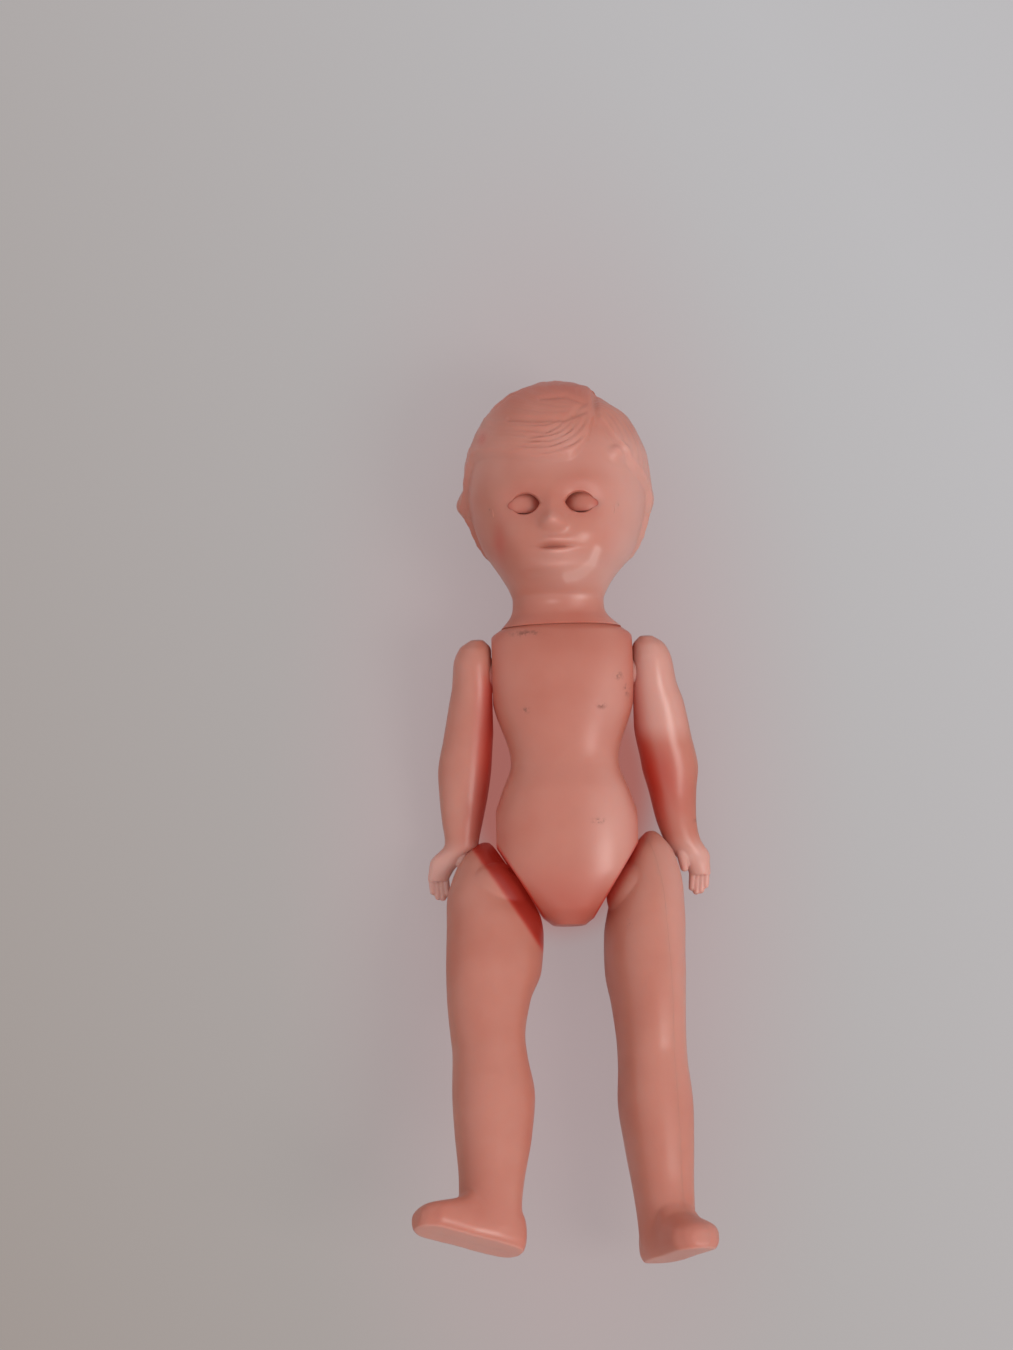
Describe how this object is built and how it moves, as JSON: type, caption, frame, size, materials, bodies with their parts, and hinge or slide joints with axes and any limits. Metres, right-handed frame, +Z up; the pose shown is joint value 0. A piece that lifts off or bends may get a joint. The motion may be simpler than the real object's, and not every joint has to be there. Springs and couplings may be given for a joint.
{
  "type": "doll",
  "caption": "Small undressed moulded plastic doll with moulded hair and closing eyes, strung with elastic so that head, arms and legs turn, lying on its back.",
  "frame": {"origin": "centre of the doll's outline, on the surface that it lies on", "axes": "+Y towards the crown, +X towards the doll's left hand, +Z up, out of its front"},
  "size_m": [0.0696, 0.2006, 0.0489],
  "materials": {
    "skin": "thin flesh-coloured moulded plastic with a soft gloss, slightly worn",
    "eye": "polished white plastic with a painted iris",
    "steel": "plain drawn steel wire and turned pins",
    "elastic": "round natural rubber elastic",
    "fibre": "pressed fibre washers",
    "lead": "dull cast lead weight"
  },
  "bodies": {
    "torso": {"torso_front": "skin", "torso_back": "skin", "arm_elastic": "elastic", "leg_elastic": "elastic", "neck_elastic": "elastic"},
    "head": {"head_face": "skin", "head_back": "skin", "neck_washer": "fibre", "neck_pin": "steel"},
    "eyes": {"eye_right": "eye", "eye_left": "eye", "eyelid_right": "skin", "eyelid_left": "skin", "eye_yoke": "steel", "eye_weight": "lead"},
    "arm_right": {"arm_right_front": "skin", "arm_right_back": "skin", "shoulder_washer_right": "fibre", "shoulder_pin_right": "steel"},
    "hip_pin_right": {"hip_pin_right": "steel"},
    "leg_right": {"leg_right_outer": "skin", "leg_right_inner": "skin", "hip_washer_right": "fibre"},
    "arm_left": {"arm_left_front": "skin", "arm_left_back": "skin", "shoulder_washer_left": "fibre", "shoulder_pin_left": "steel"},
    "hip_pin_left": {"hip_pin_left": "steel"},
    "leg_left": {"leg_left_outer": "skin", "leg_left_inner": "skin", "hip_washer_left": "fibre"}
  },
  "joints": [
    {"name": "neck_turn", "type": "hinge", "parent": "torso", "child": "head", "pos_m": [0.00132, 0.04379, 0.01864], "axis": [0, 0.9983, 0.0575], "continuous": true},
    {"name": "eyes_rock", "type": "hinge", "parent": "head", "child": "eyes", "pos_m": [0.0002, 0.06784, 0.03593], "axis": [-0.9976, 0.004, -0.0696], "range_deg": [0, 65]},
    {"name": "right_shoulder", "type": "hinge", "parent": "torso", "child": "arm_right", "pos_m": [-0.01468, 0.0332, 0.01652], "axis": [-1, 0, 0], "range_deg": [-60, 145]},
    {"name": "left_shoulder", "type": "hinge", "parent": "torso", "child": "arm_left", "pos_m": [0.01732, 0.0332, 0.01652], "axis": [-1, 0, 0], "range_deg": [-60, 145]},
    {"name": "right_hip_swing", "type": "hinge", "parent": "torso", "child": "hip_pin_right", "pos_m": [-0.01588, -0.01782, 0.01358], "axis": [-0.848, -0.529, -0.0305], "range_deg": [-45, 61]},
    {"name": "right_hip_twist", "type": "hinge", "parent": "hip_pin_right", "child": "leg_right", "pos_m": [-0.01588, -0.01782, 0.01358], "axis": [-0.0251, -0.951, 0.308], "range_deg": [-36, 9]},
    {"name": "left_hip_swing", "type": "hinge", "parent": "torso", "child": "hip_pin_left", "pos_m": [0.01852, -0.01782, 0.01358], "axis": [-0.848, 0.529, 0.0305], "range_deg": [-31, 75]},
    {"name": "left_hip_twist", "type": "hinge", "parent": "hip_pin_left", "child": "leg_left", "pos_m": [0.01852, -0.01782, 0.01358], "axis": [-0.0464, 0.9938, -0.1008], "range_deg": [-4, 41]}
  ]
}
